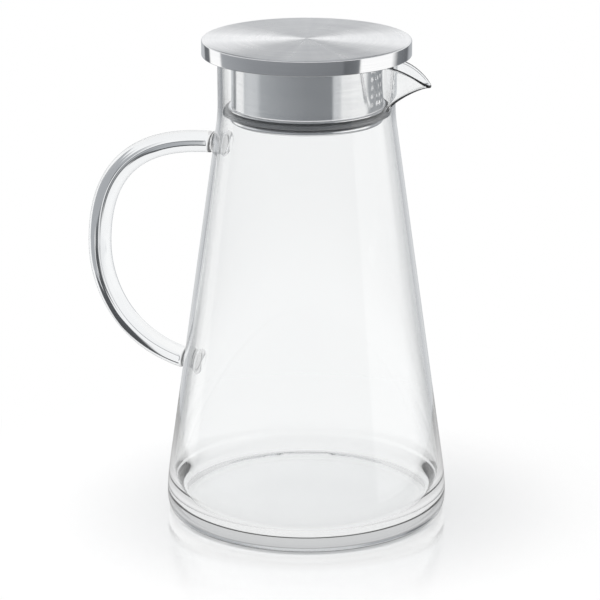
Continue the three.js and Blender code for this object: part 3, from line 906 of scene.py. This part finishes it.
def studio():
    """The surroundings: white to the camera, plain for matt surfaces, banded for metal and glass."""
    world = bpy.data.worlds.new("studio")
    bpy.context.scene.world = world
    world.cycles.sampling_method = "NONE"
    graph = Graph(world)
    direction = graph.add("ShaderNodeTexCoord").outputs["Generated"]
    parts = graph.add("ShaderNodeSeparateXYZ", {0: direction}).outputs
    heading = graph.math("ARCTAN2", parts[1], parts[0])
    from_camera = graph.math("SUBTRACT", heading, CAMERA_AZIMUTH - math.pi / 2)
    turns = graph.math("DIVIDE", from_camera, 2 * math.pi)
    turn = graph.math("FRACT", graph.math("ADD", turns, BANDS_START))
    path = graph.add("ShaderNodeLightPath").outputs

    def bands(stops):
        """What a direction shows, by its angle round the axis from the camera's side."""
        return graph.ramp(turn, [((angle + 180) / 360, studio_colour(level)) for angle, level in stops])

    def above(degrees, softness):
        """Whether a direction points higher over the horizon than an angle, with a soft edge."""
        low = math.sin(math.radians(degrees - softness))
        high = math.sin(math.radians(degrees + softness))
        return graph.smooth_range(parts[2], low, high)

    def plain(level):
        """One level of the studio all the way round."""
        return (*studio_colour(level), 1)

    ceiling = graph.blend(above(*OVERHEAD_EDGE), plain(CEILING_LEVEL), bands(OVERHEAD_BANDS))
    thrown_off = graph.math("GREATER_THAN", path["Glossy Depth"], ANY)
    crossed = graph.math("GREATER_THAN", path["Transmission Depth"], BOTH_WALLS)
    handle = None
    for lowest, stops in HANDLE_LAYERS:
        layer = bands(sorted(stops + HANDLE_SIDES))
        handle = graph.blend(above(lowest, LAYER_SOFTNESS), handle, layer) if handle else layer
    bent = graph.blend(thrown_off, handle, bands(WALL_EDGE_BANDS))
    behind_neck = graph.blend(above(*CEILING_BEHIND_NECK_EDGE), bands(BEHIND_NECK_BANDS), ceiling)
    behind_neck = graph.blend(above(*LIP_EDGE), plain(LIP_LEVEL), behind_neck)
    through_glass = graph.blend(crossed, bent, behind_neck)
    open_air = graph.blend(above(*HORIZON_EDGE), bands(OPEN_AIR_BANDS), plain(HORIZON_LEVEL))
    open_air = graph.blend(above(*CEILING_EDGE), open_air, ceiling)
    open_air = graph.blend(above(*TABLE_EDGE), plain(TABLE_LEVEL), open_air)
    seen = graph.blend(path["Is Transmission Ray"], open_air, through_glass)
    seen = graph.scaled(seen, grey(SOFTBOX_STRENGTH))
    straight = graph.math("MULTIPLY", path["Is Transmission Ray"], crossed)
    straight = graph.math("MULTIPLY", straight, graph.math("SUBTRACT", 1.0, thrown_off))
    backdrop = graph.blend(above(*BACKDROP_EDGE), WHITE, ceiling)
    seen = graph.blend(straight, seen, backdrop)
    mirrored = graph.math("MAXIMUM", path["Is Glossy Ray"], path["Is Transmission Ray"])
    direct = graph.math("LESS_THAN", path["Diffuse Depth"], ANY)
    light = graph.blend(graph.math("MULTIPLY", mirrored, direct), (*grey(PLAIN_LEVEL), 1), seen)
    light = graph.blend(path["Is Camera Ray"], light, WHITE)
    shader = graph.add("ShaderNodeBackground", {"Color": light, "Strength": 1.0})
    graph.add("ShaderNodeOutputWorld", {"Surface": shader.outputs[0]})


FLOOR_COLOUR = (0.94, 0.94, 0.94, 1)
# The floor's looks, which change with the distance from the axis, each between two reaches
SHADOW_REACH = (0.08, 0.205)
SHADOW_SHARE = 0.65  # of the floor's own shading, at the jug
SHADOW_IN_GLASS = 0.25  # of that, where it is seen in metal or through glass
FLOOR_MIRRORED = 0.3  # the floor's brightness in metal, painted darker than the camera sees it: painted shade in what metal mirrors below it
FADE_REACH = (0.05, 0.21)
FADE_LEVELS = (0.0, 0.7)  # how much darker the floor is painted where the inner wall mirrors it: painted shade in the glass
GLOSS_REACH = (0.066, 0.15)
GLOSS_LEVELS = (0.5, 0.0)
GLOSS_ROUGHNESS = 0.08


def floor():
    """A pale round floor that fades into the white surroundings and mirrors the jug's foot a little."""
    turns = np.arange(TURNED_SIDES) * 2 * math.pi / TURNED_SIDES
    points = [(FLOOR_DISC_RADIUS * math.cos(t), FLOOR_DISC_RADIUS * math.sin(t), -FLOOR_GAP) for t in turns]
    disc = mesh_object("floor", points, [list(range(len(points)))])
    material, graph = new_material("floor")
    reach = graph.reach(graph.add("ShaderNodeTexCoord").outputs["Object"])
    path = graph.add("ShaderNodeLightPath").outputs
    seen = graph.math("MAXIMUM", path["Is Glossy Ray"], path["Is Transmission Ray"])
    seen = graph.math("MAXIMUM", path["Is Camera Ray"], seen)
    shaded = graph.smooth_range(reach, *SHADOW_REACH, SHADOW_SHARE, 0.0)
    directly = graph.smooth_range(path["Is Camera Ray"], 0.0, 1.0, SHADOW_IN_GLASS, 1.0)
    fade = graph.math("SUBTRACT", 1.0, graph.math("MULTIPLY", shaded, directly))
    diffuse = graph.add("ShaderNodeBsdfDiffuse", {"Color": FLOOR_COLOUR})
    # Painted shade: metal mirrors the floor darker than the camera sees it
    thrown_off = graph.math("SUBTRACT", path["Is Glossy Ray"], path["Is Transmission Ray"])
    tone = graph.smooth_range(thrown_off, 0.0, 1.0, 1.0, FLOOR_MIRRORED)
    # Painted shade: the floor that the glass's inner wall mirrors is made darker away from the axis
    bounced = graph.math("GREATER_THAN", path["Glossy Depth"], ANY)
    bounced = graph.math("MULTIPLY", bounced, path["Is Transmission Ray"])
    far_off = graph.smooth_range(reach, *FADE_REACH, *FADE_LEVELS)
    tone = graph.math("SUBTRACT", tone, graph.math("MULTIPLY", bounced, far_off))
    white = graph.add("ShaderNodeEmission", {"Color": tone, "Strength": 1.0})
    whitened = graph.math("MULTIPLY", seen, fade)
    surface = graph.mix(whitened, diffuse.outputs[0], white.outputs[0])
    mirror = graph.add("ShaderNodeBsdfAnisotropic", {"Color": WHITE, "Roughness": GLOSS_ROUGHNESS})
    gloss = graph.smooth_range(reach, *GLOSS_REACH, *GLOSS_LEVELS)
    gloss = graph.math("MULTIPLY", gloss, path["Is Camera Ray"])
    surface = graph.mix(gloss, surface, mirror.outputs[0])
    graph.add("ShaderNodeOutputMaterial", {"Surface": surface})
    disc.data.materials.append(material)


def lamp(name, place, size, power):
    """A soft area lamp that points at the middle of the object and shows in no reflection."""
    light = bpy.data.lights.new(name, "AREA")
    light.shape = "DISK"
    light.size = size
    light.energy = power
    holder = bpy.data.objects.new(name, light)
    holder.location = place
    middle = Vector((0, 0, (cad_low.z + cad_high.z) / 2))
    holder.rotation_euler = (middle - Vector(place)).to_track_quat("-Z", "Y").to_euler()
    holder.visible_camera = False
    holder.visible_glossy = False
    holder.visible_transmission = False
    bpy.context.scene.collection.objects.link(holder)


def camera():
    """The camera at the photograph's place, aimed parallel to the line to the jug's axis."""
    data = bpy.data.cameras.new("camera")
    data.sensor_width = CAMERA_SENSOR
    data.lens = CAMERA_LENS
    holder = bpy.data.objects.new("camera", data)
    forward = Vector((-math.sin(CAMERA_AZIMUTH), math.cos(CAMERA_AZIMUTH), 0))
    right = Vector((forward.y, -forward.x, 0))
    holder.location = -CAMERA_DISTANCE * forward + CAMERA_SIDESTEP * right + Vector((0, 0, CAMERA_HEIGHT))
    view = forward * math.cos(CAMERA_PITCH) - Vector((0, 0, math.sin(CAMERA_PITCH)))
    holder.rotation_euler = view.to_track_quat("-Z", "Y").to_euler()
    bpy.context.scene.collection.objects.link(holder)
    bpy.context.scene.camera = holder


def dress(piece, materials, slot, body, *nodes):
    """Gives a piece its finishes and its body, and hides the CAD nodes that it stands in for."""
    for material in materials:
        piece.data.materials.append(material)
    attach(piece, body)
    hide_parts(*nodes)


camera()
studio()
floor()
lamp("overhead", place=(-0.5, -0.3, 1.3), size=0.9, power=6)

top_steel = brushed_steel("top_steel", roughness=0.3, anisotropy=0.95, streaks=0.06, relief=0.06, rays=0.5)
side_steel = brushed_steel("side_steel", roughness=0.11, anisotropy=0.9, streaks=0.04, relief=0.0)
drum_finish = {"roughness": 0.19, "anisotropy": 0.92, "streaks": 0.04}
drum_steel = brushed_steel("drum_steel", relief=0.15, **drum_finish)
# The drum's inner face, with painted light: a fixed glow where light bounces inside it
inside_steel = brushed_steel("inside_steel", relief=0.0, caught=0.95, **drum_finish)
dress(blown_glass(), [clear_glass()], "glass", "carafe", "glass_body", "glass_handle")
dress(pressed_cap(), [top_steel, side_steel], "brushed_steel", "lid", "lid_cap")
dress(closing_plate(), [side_steel], "brushed_steel", "lid", "lid_underplate")
dress(perforated_drum(), [drum_steel, inside_steel], "brushed_steel", "lid", "strainer_drum")
dress(rolled_carrier(), [polished_steel()], "polished_steel", "lid", "seal_carrier")
dress(silicone_seal(), [silicone()], "silicone", "seal", "seal_ring")

bpy.context.scene.view_settings.view_transform = "Standard"
